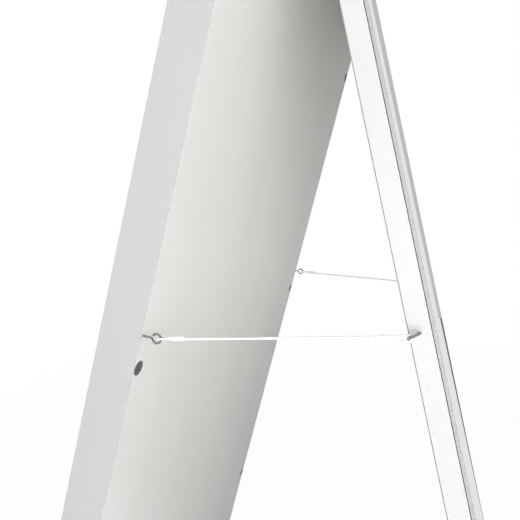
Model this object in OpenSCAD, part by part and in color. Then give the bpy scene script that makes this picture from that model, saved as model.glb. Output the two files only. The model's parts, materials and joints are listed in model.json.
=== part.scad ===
// Floor mirror that stands on the floor as a leaning A-frame.
// A mirror glued to a lacquered board leans back on a hollow support panel.
// Two butt hinges join the panels, and two cords between screw eyes hold them open.
// X is the width, the mirror faces -Y, Z is up, and the floor is at Z = 0.
// Each panel is drawn upright with its hinge line at Z = 0, and then leaned over.

/* [Mirror panel] */
// Width of the board and of the support panel
panel_w = 600; // [400:10:900]
// Length of the mirror board along its slope
mirror_len = 1600; // [1300:10:2000]
// Thickness of the mirror board
board_t = 18; // [15:1:30]
// Radius of the board's long edges
board_edge_r = 1; // [0.5:0.5:3]
// Lean of the mirror board from upright
mirror_lean = 12.6; // [8:0.1:18]
// Thickness of the mirror glass
glass_t = 3; // [3:1:6]
// How far the glass stops short of the board's edges
glass_inset = 0.5; // [0:0.5:10]
// Height of the glass edge above the board's lower edge
glass_lift = 4; // [2:1:30]
// Polished chamfer round the glass
glass_bevel = 0.4; // [0.2:0.1:1]
// Width of each strip of mounting tape
tape_w = 25; // [12:1:60]
// Thickness of the mounting tape
tape_t = 0.5; // [0.3:0.1:2]

/* [Support panel] */
// Length of the support panel's inner face
rear_len = 1110; // [1000:10:1250]
// Thickness of the support panel
rear_t = 44; // [38:1:60]
// Lean of the support panel from upright
rear_lean = 14.7; // [8:0.1:20]
// Gap between the panel's top edge and the line where the two faces would meet
rear_gap = 2; // [1:0.5:6]
// Thickness of the inner and outer skins
skin_t = 3; // [2:0.5:6]
// Thickness of the edge strips
edge_t = 1; // [0.5:0.5:2]
// Width of the two upright stiles
stile_w = 30; // [27:1:60]
// Width of the middle rail
middle_rail_w = 60; // [45:5:120]
// Width of one cell of the core, across its flats
core_cell = 56; // [30:2:90]
// Thickness of the core's cell walls
core_wall = 2; // [1:0.5:4]

/* [Cam fittings] */
// Distance of the top cams from the hinge line
cam_top_s = 132; // [60:2:150]
// Distance of the bottom cams from the inner face's lower end
cam_foot = 140; // [60:2:160]
// Distance from the top and bottom cams to the bay between their rails
cam_margin = 24; // [20:1:40]
// Distance of a cam's centre from the panel's side
cam_inset = 9; // [9:0.5:14]
// Radius of a cam
cam_r = 7.5; // [6:0.5:8]
// Depth of a cam
cam_depth = 13.5; // [12:0.5:16]
// Distance of the cam bolts from the inner face
bolt_depth = 9.5; // [8:0.5:11]
// Radius of a cam bolt's shank
bolt_r = 3.2; // [2.5:0.1:3.5]
// Radius of a cam bolt's threaded end
bolt_thread_r = 2.5; // [2:0.1:3]
// Length of a cam bolt in the rail
bolt_thread_len = 11; // [8:1:20]
// Radius of a dowel
dowel_r = 4; // [3:0.5:5]
// Length of a dowel
dowel_len = 30; // [20:1:40]
// Distance from a cam to its dowel
dowel_shift = 16; // [13:1:20]

/* [Hinges] */
// Distance of each hinge's middle from the panels' side
hinge_inset = 120; // [60:5:180]
// Length of a hinge
hinge_len = 64; // [50:1:100]
// Height of a hinge leaf below its pin
leaf_h = 28; // [24:1:40]
// Thickness of a hinge leaf
leaf_t = 1.5; // [1:0.1:2.5]
// Outer radius of the knuckles
knuckle_r = 3.2; // [2.8:0.1:4]
// Number of knuckles
knuckles = 5; // [3:2:7]
// Radius of the hinge pin
pin_r = 1.5; // [1.2:0.1:2]
// Radius of the pin's heads
pin_head_r = 2.4; // [2:0.1:2.8]
// Radius of a hinge screw's head
screw_head_r = 3.2; // [2.5:0.1:4]
// Radius of a hinge screw's shank
screw_r = 1.6; // [1.2:0.1:2]
// Length of a hinge screw
screw_len = 15; // [10:1:17]

/* [Screw eyes and cords] */
// Radius of the wire of a screw eye
eye_wire_r = 1.05; // [0.9:0.05:1.2]
// Radius of an eye's ring, to the middle of the wire
eye_ring_r = 4.4; // [4.2:0.1:5]
// Distance from the surface to the centre of the ring
eye_reach = 14.5; // [11.5:0.5:16]
// Length of an eye's shank in the wood
eye_shank = 13; // [8:1:18]
// Radius of the bend between an eye's shank and its ring
eye_bend_r = 3; // [2:0.5:4]
// Angle at which the ring's wire ends, measured round the ring from the shank
eye_end = 23; // [22:1:60]
// Distance of the support panel's left eye from the hinge line
rear_eye_left_s = 517.5; // [300:0.5:535]
// Distance of the support panel's right eye from the hinge line
rear_eye_right_s = 516; // [300:0.5:535]
// Extra depth to which the support panel's right eye is screwed in
rear_eye_right_sink = 3.5; // [0:0.5:4]
// Upward tilt of the support panel's eyes
rear_eye_tilt = 8; // [0:1:20]
// Distance of the support panel's eyes from the panel's side
eye_inset = 3.5; // [3:0.5:12]
// Distance of the board's left eye from the hinge line
mirror_eye_left_s = 494; // [300:2:600]
// Distance of the board's right eye from the hinge line
mirror_eye_right_s = 532; // [300:2:600]
// Turn of the board's eyes towards the support panel
mirror_eye_turn = 18; // [5:1:50]
// Upward tilt of the board's eyes
mirror_eye_tilt = 5; // [0:1:15]
// Turn of the board's eyes about their own shanks
mirror_eye_roll = 18; // [0:1:40]
// Radius of the cord
cord_r = 1.1; // [0.9:0.1:1.5]
// Distance from a ring's wire to the sleeve
loop_len = 13.5; // [9:0.5:20]
// Length of a crimped sleeve
sleeve_len = 11; // [8:1:20]
// Wall of a crimped sleeve
sleeve_wall = 0.6; // [0.5:0.1:1.2]
// Length of the cord's tail past its sleeve
tail_len = 2; // [1:0.5:6]

/* [Feet] */
// Thickness of a foot pad
pad_t = 2; // [1:0.5:5]
// Length of a foot pad
pad_len = 80; // [40:5:120]
// Distance from a pad's end to the panel's side
pad_inset = 20; // [5:5:60]
// Margin of a pad inside the edge that it carries
pad_margin = 2; // [1:0.5:5]

/* [Hidden] */
$fn = 48;

lacquer = [0.95, 0.95, 0.94];
support_grey = [0.80, 0.80, 0.81];
raw_wood = [0.80, 0.66, 0.46];
steel = [0.62, 0.63, 0.65];
zinc = [0.42, 0.43, 0.45];
cord_white = [0.96, 0.96, 0.95];
rubber = [0.18, 0.18, 0.19];

// Clearances, and the oversize of cutting shapes
seat_gap = 0.05;
run_gap = 0.05;
loop_gap = 0.3;
strand_gap = 0.2;
side_gap = 0.2;
eye_swell = 1.06;
over = 1;

// Heights and depths measured from the hinge line
half_w = panel_w / 2;
slope = (rear_gap + rear_len) * cos(rear_lean);
apex_z = pad_t + slope;
mirror_foot_s = slope / cos(mirror_lean);
mirror_top = mirror_len - mirror_foot_s;
glass_back = board_t + tape_t;
glass_front = glass_back + glass_t;
glass_foot_s = mirror_foot_s - glass_lift;
front_reach = glass_front * cos(mirror_lean) + glass_foot_s * sin(mirror_lean);
rear_foot_s = (slope + rear_t * sin(rear_lean)) / cos(rear_lean);
back_reach = rear_t * cos(rear_lean) + rear_foot_s * sin(rear_lean);
apex_y = (front_reach - back_reach) / 2;
below_floor = 60;

// The hinge pin lies as far from one face as from the other
pin_off = knuckle_r + loop_gap;
pin_s = pin_off / tan((mirror_lean + rear_lean) / 2);
knuckle_len = hinge_len / knuckles;
hinge_x = half_w - hinge_inset;
screw_xs = [-hinge_len / 3, 0, hinge_len / 3];

// Places of the frame's pieces in the support panel
frame_w = panel_w - 2 * edge_t;
frame_t = rear_t - 2 * skin_t;
frame_top_s = rear_gap + edge_t;
rail_half = frame_w / 2 - stile_w;
cam_foot_s = rear_gap + rear_len - cam_foot;
cam_ss = [cam_top_s, (cam_top_s + cam_foot_s) / 2, cam_foot_s];
dowel_ss = [cam_ss[0] - dowel_shift, cam_ss[1] - dowel_shift, cam_ss[2] + dowel_shift];
middle_s = cam_ss[1];
top_rail_s = cam_ss[0] + cam_margin;
bottom_rail_s = cam_ss[2] - cam_margin;
cam_x = half_w - cam_inset;

function unit(v) = v / norm(v);
function square_to(v, axis) = unit(v - axis * (v * axis));

// A point or a direction of an upright panel, after it leans over
function lean_point(p, angle) = [
    p[0],
    apex_y + p[1] * cos(angle) - p[2] * sin(angle),
    apex_z + p[1] * sin(angle) + p[2] * cos(angle)
];
function lean_axis(v, angle) = lean_point(v, angle) - lean_point([0, 0, 0], angle);

module lean(angle) {
    translate([0, apex_y, apex_z])
        rotate([angle, 0, 0])
            children();
}

module on_mirror() {
    lean(-mirror_lean) children();
}

module on_rear() {
    lean(rear_lean) children();
}

// What lies below the top of the foot pads
module floor_cut() {
    translate([-panel_w, -1000 - mirror_len, pad_t - 2 * below_floor])
        cube([2 * panel_w, 2000 + 2 * mirror_len, 2 * below_floor]);
}

// Everything within a box from one corner to the other
module block(low, high) {
    translate(low) cube(high - low);
}

// Rectangle with round corners, centred
module round_rect(w, d, r) {
    square([w - 2 * r, d], center = true);
    square([w, d - 2 * r], center = true);
    for (x = [-1, 1], y = [-1, 1])
        translate([x * (w / 2 - r), y * (d / 2 - r)]) circle(r = r);
}

// Two round ends joined by straight sides, centred
module stadium(half_len, r) {
    square([2 * (half_len - r), 2 * r], center = true);
    for (x = [-1, 1]) translate([x * (half_len - r), 0]) circle(r = r);
}

// Mirror glass, its tape and its board

// Outline of a plate with two chamfered corners on its front side
module glass_outline(half) {
    polygon([
        [-half, 0],
        [-half, glass_bevel - glass_t],
        [glass_bevel - half, -glass_t],
        [half - glass_bevel, -glass_t],
        [half, glass_bevel - glass_t],
        [half, 0]
    ]);
}

module mirror_glass() {
    half_x = half_w - glass_inset;
    half_z = (mirror_top - glass_inset + glass_foot_s) / 2;
    color("gainsboro") on_mirror() translate([0, -glass_back, half_z - glass_foot_s])
        intersection() {
            translate([0, 0, -half_z]) linear_extrude(2 * half_z) glass_outline(half_x);
            rotate([0, 90, 0]) translate([0, 0, -half_x])
                linear_extrude(2 * half_x) glass_outline(half_z);
        }
}

module mounting_tape() {
    reach = half_w - tape_w;
    color("dimgray") on_mirror()
        for (x = [-reach, -tape_w / 2, reach - tape_w])
            block([x, -glass_back, -glass_foot_s + tape_w],
                  [x + tape_w, -board_t, mirror_top - tape_w]);
}

module mirror_board() {
    color(lacquer) difference() {
        on_mirror() difference() {
            translate([0, -board_t / 2, -mirror_foot_s - below_floor / 2])
                linear_extrude(mirror_len + below_floor / 2)
                    round_rect(panel_w, board_t, board_edge_r);
            for (side = [-1, 1]) {
                at_mirror_eye(side) eye_pilot();
                translate([side * hinge_x, 0, -pin_s]) screw_holes(-1);
            }
        }
        floor_cut();
    }
}

// Screw eyes, drawn along X with the surface at X = 0

// A bent piece of wire of one radius, from one angle to another
module wire_bend(r, from, to, wire_r = eye_wire_r) {
    rotate([0, 0, from])
        rotate_extrude(angle = to - from)
            translate([r, 0]) circle(r = wire_r, $fn = 24);
}

// The shank bends aside and runs on as the ring, which ends short of the shank
module screw_eye() {
    bend_x = eye_reach - sqrt(eye_ring_r * eye_ring_r + 2 * eye_bend_r * eye_ring_r);
    join = asin(eye_bend_r / (eye_ring_r + eye_bend_r));
    // The bend swells a little and laps over the straight wire and the ring
    lap = 4;
    color(steel) {
        rotate([0, 90, 0])
            translate([0, 0, -eye_shank])
                cylinder(r = eye_wire_r, h = eye_shank + bend_x, $fn = 24);
        translate([bend_x, eye_bend_r, 0])
            wire_bend(eye_bend_r, -90 - lap, lap - join, eye_wire_r * eye_swell);
        translate([eye_reach, 0, 0]) wire_bend(eye_ring_r, eye_end - 180, 180 - join);
    }
}

module eye_pilot() {
    rotate([0, 90, 0])
        translate([0, 0, -eye_shank - seat_gap])
            cylinder(r = eye_wire_r + seat_gap, h = eye_shank + over + board_t);
}

// Each eye's distance from the hinge line, and the extra depth of its shank
function mirror_eye_s(side) = side < 0 ? mirror_eye_left_s : mirror_eye_right_s;
function rear_eye_s(side) = side < 0 ? rear_eye_left_s : rear_eye_right_s;
function rear_eye_sink(side) = side < 0 ? 0 : rear_eye_right_sink;

// Where an eye's drawing starts in its upright panel
function mirror_eye_root(side) = [side * half_w, -board_t / 2, -mirror_eye_s(side)];
function rear_eye_root(side) = [
    side * (half_w - eye_inset),
    rear_eye_sink(side) * cos(rear_eye_tilt),
    -rear_eye_s(side) - rear_eye_sink(side) * sin(rear_eye_tilt)
];

// Turns of an eye's drawing about X, then Y, then Z
function mirror_eye_turns(side) = [
    -side * mirror_eye_roll,
    -mirror_eye_tilt,
    side < 0 ? 180 - mirror_eye_turn : mirror_eye_turn
];
rear_eye_turns = [-90, -rear_eye_tilt, -90];

function spun_x(v, a) = [v[0], v[1] * cos(a) - v[2] * sin(a), v[1] * sin(a) + v[2] * cos(a)];
function spun_y(v, a) = [v[0] * cos(a) + v[2] * sin(a), v[1], v[2] * cos(a) - v[0] * sin(a)];
function spun_z(v, a) = [v[0] * cos(a) - v[1] * sin(a), v[0] * sin(a) + v[1] * cos(a), v[2]];
function spun(v, turns) = spun_z(spun_y(spun_x(v, turns[0]), turns[1]), turns[2]);

module at_mirror_eye(side) {
    translate(mirror_eye_root(side)) rotate(mirror_eye_turns(side)) children();
}

module at_rear_eye(side) {
    translate(rear_eye_root(side)) rotate(rear_eye_turns) children();
}

module mirror_eye(side) {
    on_mirror() at_mirror_eye(side) screw_eye();
}

module rear_eye(side) {
    on_rear() at_rear_eye(side) screw_eye();
}

// Hinges. Face is -1 for the mirror board's leaf, and 1 for the support panel's

// Own knuckles are the odd ones on the mirror board, and the even ones on the other
module knuckle_row(face, r, extra = 0) {
    first = face < 0 ? 0 : 1;
    for (i = [first:2:knuckles - 1])
        translate([-hinge_len / 2 + i * knuckle_len + side_gap / 2 - extra, 0, 0])
            rotate([0, 90, 0])
                cylinder(r = r, h = knuckle_len - side_gap + 2 * extra);
}

module hinge_leaf(face) {
    plate_top = knuckle_r + run_gap + loop_gap;
    first = face < 0 ? 0 : 1;
    color(steel) difference() {
        union() {
            block([-hinge_len / 2, 0, -leaf_h], [hinge_len / 2, leaf_t, -plate_top]);
            for (i = [first:2:knuckles - 1])
                block([-hinge_len / 2 + i * knuckle_len + side_gap / 2, 0, -plate_top],
                      [-hinge_len / 2 + (i + 1) * knuckle_len - side_gap / 2, leaf_t, 0]);
            translate([0, pin_off, 0]) knuckle_row(face, knuckle_r);
        }
        translate([0, pin_off, 0]) rotate([0, 90, 0])
            cylinder(r = pin_r + run_gap, h = 2 * hinge_len, center = true);
        for (i = [0:2]) at_screw(i) screw_seat(seat_gap);
    }
}

// Hinge screws lie along Y, with their heads at the leaf's free face
module at_screw(i) {
    drop = i == 1 ? 0.75 : 0.5;
    translate([screw_xs[i], leaf_t, -leaf_h * drop])
        rotate([90, 0, 0])
            children();
}

module screw_seat(gap) {
    translate([0, 0, -gap])
        cylinder(r1 = screw_head_r + gap, r2 = screw_r + gap, h = leaf_t + 2 * gap);
    translate([0, 0, -gap]) cylinder(r = screw_r + gap, h = leaf_t + over);
}

module hinge_screw() {
    color(steel) difference() {
        union() {
            cylinder(r1 = screw_head_r, r2 = screw_r, h = leaf_t);
            cylinder(r = screw_r, h = screw_len);
        }
        for (turn = [0, 90])
            rotate([0, 0, turn])
                block([-screw_r, -0.3, -over], [screw_r, 0.3, leaf_t * 0.6]);
    }
}

// Pilot holes for one leaf's screws, in the panel behind it
module screw_holes(face) {
    mirror([0, face < 0 ? 0 : 1, 0])
        for (i = [0:2]) at_screw(i)
            translate([0, 0, leaf_t - over])
                cylinder(r = screw_r + seat_gap, h = screw_len - leaf_t + over + seat_gap);
}

module mirror_leaf(side) {
    on_mirror() translate([side * hinge_x, 0, -pin_s]) hinge_leaf(-1);
}

module rear_leaf(side) {
    on_rear() translate([side * hinge_x, 0, -pin_s])
        mirror([0, 1, 0]) hinge_leaf(1);
}

module hinge_pin(side) {
    head = 1;
    long = hinge_len + 2 * run_gap;
    color(steel) on_mirror() translate([side * hinge_x, pin_off, -pin_s])
        rotate([0, 90, 0]) {
            cylinder(r = pin_r, h = long, center = true);
            for (end = [-1, 1])
                translate([0, 0, end * (long + head) / 2])
                    cylinder(r = pin_head_r, h = head, center = true);
        }
}

module mirror_hinge_screws() {
    on_mirror() for (side = [-1, 1], i = [0:2])
        translate([side * hinge_x, 0, -pin_s]) at_screw(i) hinge_screw();
}

module rear_hinge_screws() {
    on_rear() for (side = [-1, 1], i = [0:2])
        translate([side * hinge_x, 0, -pin_s]) mirror([0, 1, 0]) at_screw(i) hinge_screw();
}

// Support panel. Its inner face is at Y = 0 and its outer face at Y = rear_t

module support_piece(low, high) {
    difference() {
        on_rear() block(low, high);
        floor_cut();
    }
}

module rear_inner_skin() {
    color(support_grey) difference() {
        support_piece([-frame_w / 2, 0, -rear_foot_s - over],
                      [frame_w / 2, skin_t, -frame_top_s]);
        on_rear() panel_holes();
    }
}

module rear_outer_skin() {
    color(support_grey)
        support_piece([-frame_w / 2, rear_t - skin_t, -rear_foot_s - over],
                      [frame_w / 2, rear_t, -frame_top_s]);
}

// All holes that are bored into the panel from its inner face
module panel_holes() {
    for (side = [-1, 1]) {
        at_rear_eye(side) eye_pilot();
        translate([side * hinge_x, 0, -pin_s]) screw_holes(1);
        for (s = cam_ss)
            translate([side * cam_x, -over, -s]) rotate([-90, 0, 0])
                cylinder(r = cam_r + seat_gap, h = cam_depth + over + seat_gap);
    }
}

// Holes along X for the cam bolts and dowels
module joint_holes(side) {
    for (s = cam_ss) {
        translate([side * cam_x, bolt_depth, -s]) rotate([0, -side * 90, 0])
            cylinder(r = bolt_r + seat_gap, h = cam_x - rail_half);
        translate([side * cam_x, bolt_depth, -s]) rotate([0, -side * 90, 0])
            cylinder(r = bolt_thread_r + seat_gap,
                     h = cam_x - rail_half + bolt_thread_len + seat_gap);
    }
    for (s = dowel_ss)
        translate([side * rail_half, rear_t / 2, -s]) rotate([0, 90, 0])
            cylinder(r = dowel_r + seat_gap, h = dowel_len + 2 * seat_gap, center = true);
}

module rear_stile(side) {
    inner = side * rail_half;
    outer = side * frame_w / 2;
    color(raw_wood) difference() {
        support_piece([min(inner, outer), skin_t, -rear_foot_s - over],
                      [max(inner, outer), rear_t - skin_t, -frame_top_s]);
        on_rear() {
            panel_holes();
            joint_holes(side);
        }
    }
}

module rail(top_s, bottom_s) {
    color(raw_wood) difference() {
        support_piece([-rail_half, skin_t, -bottom_s], [rail_half, rear_t - skin_t, -top_s]);
        on_rear() {
            panel_holes();
            for (side = [-1, 1]) joint_holes(side);
        }
    }
}

module rear_top_rail() {
    rail(frame_top_s, top_rail_s);
}

module rear_middle_rail() {
    rail(middle_s - middle_rail_w / 2, middle_s + middle_rail_w / 2);
}

module rear_bottom_rail() {
    rail(bottom_rail_s, rear_foot_s + over);
}

// Card core of six-sided cells, which fills one bay between two rails
module core(top_s, bottom_s) {
    step_x = core_cell + core_wall;
    step_z = step_x * cos(30);
    rows = floor((bottom_s - top_s) / step_z / 2) + 1;
    columns = floor(rail_half / step_x) + 1;
    middle = (top_s + bottom_s) / 2;
    color("burlywood") on_rear() translate([0, rear_t - skin_t, -middle]) rotate([90, 0, 0])
        linear_extrude(frame_t) difference() {
            square([2 * rail_half, bottom_s - top_s], center = true);
            // The cells stop at a strip round the bay
            intersection() {
                square([2 * (rail_half - core_wall), bottom_s - top_s - 2 * core_wall],
                       center = true);
                for (row = [-rows:rows], column = [-columns:columns])
                    translate([(column + (row % 2) / 2) * step_x, row * step_z])
                        rotate(30) circle(r = core_cell / 2 / cos(30), $fn = 6);
            }
        }
}

module rear_core_upper() {
    core(top_rail_s + seat_gap, middle_s - middle_rail_w / 2 - seat_gap);
}

module rear_core_lower() {
    core(middle_s + middle_rail_w / 2 + seat_gap, bottom_rail_s - seat_gap);
}

module rear_edge(side) {
    x = side * half_w;
    inner = x - side * edge_t;
    color(support_grey)
        support_piece([min(x, inner), 0, -rear_foot_s - over], [max(x, inner), rear_t, -rear_gap]);
}

module rear_edge_top() {
    color(support_grey) on_rear()
        block([-frame_w / 2, 0, -frame_top_s], [frame_w / 2, rear_t, -rear_gap]);
}

// Cams, their bolts and the dowels

module cam_nut(side) {
    cross_w = 1.5;
    cross_len = 1.2 * cam_r;
    cross_depth = 2;
    color(zinc) difference() {
        rotate([-90, 0, 0]) cylinder(r = cam_r, h = cam_depth);
        // The cross for the driver
        for (turn = [45, 135])
            rotate([0, turn, 0])
                block([-cross_len / 2, -over, -cross_w / 2],
                      [cross_len / 2, cross_depth, cross_w / 2]);
        // The mouth that takes the bolt's head, and the slot behind it
        translate([0, bolt_depth, 0]) rotate([0, -side * 90, 0])
            translate([0, 0, -cam_r / 2])
                cylinder(r = bolt_r + seat_gap, h = 2 * cam_r);
    }
}

module cam_nuts(side) {
    on_rear() for (s = cam_ss) translate([side * cam_x, 0, -s]) cam_nut(side);
}

// One turned bolt: head, neck, shank and threaded end
module cam_bolt() {
    head_len = 2.2;
    neck_end = cam_r - 1;
    shank_end = cam_x - rail_half;
    color(steel) rotate_extrude() polygon([
        [0, -head_len / 2],
        [bolt_r - 0.4, -head_len / 2],
        [bolt_r - 0.4, head_len / 2],
        [bolt_r / 2, head_len / 2],
        [bolt_r / 2, neck_end],
        [bolt_r, neck_end],
        [bolt_r, shank_end],
        [bolt_thread_r, shank_end],
        [bolt_thread_r, shank_end + bolt_thread_len],
        [0, shank_end + bolt_thread_len]
    ]);
}

module cam_bolts(side) {
    on_rear() for (s = cam_ss)
        translate([side * cam_x, bolt_depth, -s]) rotate([0, -side * 90, 0]) cam_bolt();
}

module dowels(side) {
    color("wheat") on_rear() for (s = dowel_ss)
        translate([side * rail_half, rear_t / 2, -s]) rotate([0, 90, 0])
            cylinder(r = dowel_r, h = dowel_len, center = true);
}

// Feet: flat rubber pads under the level edges of both panels

module foot(side, y, depth) {
    x = side * (half_w - pad_inset - pad_len / 2);
    color(rubber)
        translate([x, y, 0])
            linear_extrude(pad_t)
                round_rect(pad_len, depth, pad_t);
}

module mirror_foot(side) {
    depth = board_t / cos(mirror_lean);
    y = apex_y - slope * tan(mirror_lean) - depth / 2;
    foot(side, y, depth - 2 * pad_margin);
}

module rear_foot(side) {
    depth = rear_t / cos(rear_lean);
    y = apex_y + slope * tan(rear_lean) + depth / 2;
    foot(side, y, depth - 2 * pad_margin);
}

// Cords. Each runs from a loop in the support panel's eye to one in the board's eye

cord_sides = 8;
bend_r = eye_wire_r + loop_gap + cord_r;
strand_off = cord_r + strand_gap / 2;

// Centres of the two rings on one side, and the axes of their holes
function rear_ring(side) =
    lean_point(rear_eye_root(side) + spun([eye_reach, 0, 0], rear_eye_turns), rear_lean);
function mirror_ring(side) =
    lean_point(mirror_eye_root(side) + spun([eye_reach, 0, 0], mirror_eye_turns(side)),
               -mirror_lean);
function rear_ring_axis() = lean_axis(spun([0, 0, 1], rear_eye_turns), rear_lean);
function mirror_ring_axis(side) = lean_axis(spun([0, 0, 1], mirror_eye_turns(side)), -mirror_lean);

// Where the cord bears on a ring's wire, on the side of the other eye
function bearing(centre, axis, towards) = centre + eye_ring_r * square_to(towards - centre, axis);
function rear_bearing(side) = bearing(rear_ring(side), rear_ring_axis(), mirror_ring(side));
function mirror_bearing(side) = bearing(mirror_ring(side), mirror_ring_axis(side), rear_ring(side));

// One loop: the tail, the bend round the wire, and the strand that leads away
function loop_route(at, along, across) = concat(
    [at + along * (loop_len + sleeve_len + tail_len) - across * strand_off],
    [at + along * loop_len - across * strand_off],
    [for (t = [-90:15:90]) at + bend_r * (across * sin(t) - along * cos(t))],
    [at + along * loop_len + across * strand_off]
);
function reversed(list) = [for (i = [len(list) - 1:-1:0]) list[i]];
function cord_along(side) = unit(mirror_bearing(side) - rear_bearing(side));
function cord_route(side) = concat(
    loop_route(rear_bearing(side), cord_along(side), square_to(rear_ring_axis(), cord_along(side))),
    [rear_bearing(side) + cord_along(side) * (loop_len + sleeve_len)
        + square_to(rear_ring_axis(), cord_along(side)) * strand_off],
    [mirror_bearing(side) - cord_along(side) * (loop_len + sleeve_len)
        + square_to(mirror_ring_axis(side), cord_along(side)) * strand_off],
    reversed(loop_route(mirror_bearing(side), -cord_along(side),
                        square_to(mirror_ring_axis(side), cord_along(side))))
);

// A round tube along a route, its rings carried from point to point without twist
function tangent(route, i) =
    unit(route[min(i + 1, len(route) - 1)] - route[max(i - 1, 0)]);
function carried(route, i) =
    i == 0 ? square_to([0.3, 0.2, 1], tangent(route, 0))
           : square_to(carried(route, i - 1), tangent(route, i));
function tube_points(route, r, sides) = [
    for (i = [0:len(route) - 1])
        let (along = tangent(route, i), out = carried(route, i), up = cross(along, out))
            for (k = [0:sides - 1])
                route[i] + r * (out * cos(360 * k / sides) + up * sin(360 * k / sides))
];
function tube_faces(count, sides) = concat(
    [for (k = [1:sides - 2]) [0, k, k + 1]],
    [for (i = [0:count - 2], k = [0:sides - 1])
        let (a = i * sides + k, b = i * sides + (k + 1) % sides) each
            [[a, a + sides, b], [b, a + sides, b + sides]]],
    [let (last = (count - 1) * sides) for (k = [1:sides - 2])
        [last, last + k + 1, last + k]]
);

module stay_cord(side) {
    route = cord_route(side);
    color(cord_white)
        polyhedron(tube_points(route, cord_r, cord_sides), tube_faces(len(route), cord_sides));
}

// A crimped sleeve, from its start on the loop's side
module sleeve(at, along, across) {
    up = cross(along, across);
    inner_half = strand_off + cord_r + run_gap;
    inner_r = cord_r + run_gap;
    start = at + along * loop_len;
    crimp_r = 2;
    crimp_in = 0.3;
    color(cord_white)
        multmatrix([
            [across[0], up[0], along[0], start[0]],
            [across[1], up[1], along[1], start[1]],
            [across[2], up[2], along[2], start[2]],
            [0, 0, 0, 1]
        ])
        difference() {
            linear_extrude(sleeve_len) stadium(inner_half + sleeve_wall, inner_r + sleeve_wall);
            translate([0, 0, -over])
                linear_extrude(sleeve_len + 2 * over) stadium(inner_half, inner_r);
            for (z = [sleeve_len / 3, sleeve_len * 2 / 3], face = [-1, 1])
                translate([0, face * (inner_r + sleeve_wall + crimp_r - crimp_in), z])
                    rotate([0, 90, 0])
                        cylinder(r = crimp_r, h = 4 * inner_half, center = true);
        }
}

module cord_sleeves(side) {
    along = cord_along(side);
    sleeve(rear_bearing(side), along, square_to(rear_ring_axis(), along));
    sleeve(mirror_bearing(side), -along, square_to(mirror_ring_axis(side), along));
}

mirror_glass();
mounting_tape();
mirror_board();
mirror_eye(-1);  // mirror_eye_left
mirror_eye(1);  // mirror_eye_right
mirror_leaf(-1);  // hinge_left_mirror_leaf
mirror_leaf(1);  // hinge_right_mirror_leaf
hinge_pin(-1);  // hinge_left_pin
hinge_pin(1);  // hinge_right_pin
mirror_hinge_screws();
mirror_foot(-1);  // mirror_foot_left
mirror_foot(1);  // mirror_foot_right
stay_cord(-1);  // stay_cord_left
stay_cord(1);  // stay_cord_right
cord_sleeves(-1);  // cord_sleeves_left
cord_sleeves(1);  // cord_sleeves_right
rear_inner_skin();
rear_outer_skin();
rear_stile(-1);  // rear_stile_left
rear_stile(1);  // rear_stile_right
rear_top_rail();
rear_middle_rail();
rear_bottom_rail();
rear_core_upper();
rear_core_lower();
rear_edge(-1);  // rear_edge_left
rear_edge(1);  // rear_edge_right
rear_edge_top();
cam_nuts(-1);  // cam_nuts_left
cam_nuts(1);  // cam_nuts_right
cam_bolts(-1);  // cam_bolts_left
cam_bolts(1);  // cam_bolts_right
dowels(-1);  // dowels_left
dowels(1);  // dowels_right
rear_eye(-1);  // rear_eye_left
rear_eye(1);  // rear_eye_right
rear_leaf(-1);  // hinge_left_rear_leaf
rear_leaf(1);  // hinge_right_rear_leaf
rear_hinge_screws();
rear_foot(-1);  // rear_foot_left
rear_foot(1);  // rear_foot_right
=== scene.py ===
"""Looks of the leaning floor mirror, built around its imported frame.

X is the width, the mirror faces -Y, Z is up, and all lengths are in metres.
"""

import json
import math

import bmesh
import bpy
from mathutils import Euler, Matrix, Vector

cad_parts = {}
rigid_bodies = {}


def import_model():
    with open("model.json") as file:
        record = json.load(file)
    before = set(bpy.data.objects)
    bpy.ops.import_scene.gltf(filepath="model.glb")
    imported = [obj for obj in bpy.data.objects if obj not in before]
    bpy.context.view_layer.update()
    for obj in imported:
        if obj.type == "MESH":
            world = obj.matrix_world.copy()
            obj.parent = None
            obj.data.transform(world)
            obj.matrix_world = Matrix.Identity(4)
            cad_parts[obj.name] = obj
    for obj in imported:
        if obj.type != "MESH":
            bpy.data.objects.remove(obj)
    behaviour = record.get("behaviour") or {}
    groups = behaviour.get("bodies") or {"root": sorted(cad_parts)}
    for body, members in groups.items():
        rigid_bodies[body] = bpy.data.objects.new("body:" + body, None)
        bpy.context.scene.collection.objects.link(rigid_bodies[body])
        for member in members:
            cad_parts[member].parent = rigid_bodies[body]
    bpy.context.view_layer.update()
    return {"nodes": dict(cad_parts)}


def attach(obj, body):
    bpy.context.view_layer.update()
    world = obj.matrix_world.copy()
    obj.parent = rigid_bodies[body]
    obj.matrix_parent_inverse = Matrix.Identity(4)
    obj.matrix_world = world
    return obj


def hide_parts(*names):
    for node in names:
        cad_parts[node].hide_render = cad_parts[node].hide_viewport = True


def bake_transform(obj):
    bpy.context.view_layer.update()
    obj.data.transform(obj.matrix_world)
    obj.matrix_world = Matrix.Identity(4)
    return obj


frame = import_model()

# Sizes of the frame that the pieces here are fitted to. A size that ends in S runs down
# a panel from the apex, the line where the panels' inner faces meet.

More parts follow.
